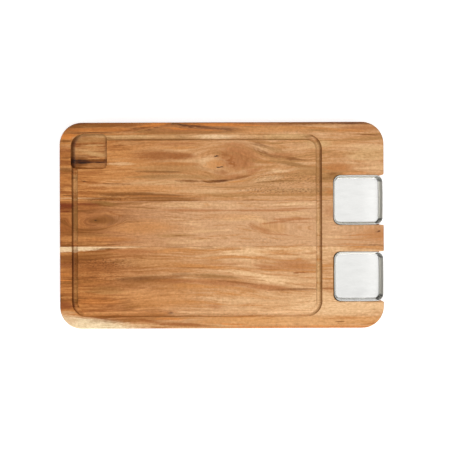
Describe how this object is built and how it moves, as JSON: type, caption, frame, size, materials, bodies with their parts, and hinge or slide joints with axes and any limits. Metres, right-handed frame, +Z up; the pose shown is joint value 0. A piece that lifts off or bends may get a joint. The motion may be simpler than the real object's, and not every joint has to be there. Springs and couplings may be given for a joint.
{
  "type": "steak board",
  "caption": "Rectangular hardwood steak board with a juice groove, a gravy well in one corner, and square steel sauce trays in pockets open at one end.",
  "frame": {"origin": "on the underside, at the middle of the board's outline", "axes": "+Z up, +X along the grain towards the end with the trays, +Y across the staves towards the gravy well's edge"},
  "size_m": [0.44, 0.28, 0.025],
  "materials": {
    "acacia": "sanded, oiled, satin",
    "tray_steel": "brushed inside and out"
  },
  "bodies": {
    "root": {"upper_stave": "acacia", "middle_stave": "acacia", "lower_stave": "acacia", "upper_sauce_tray": "tray_steel", "lower_sauce_tray": "tray_steel"}
  },
  "joints": []
}
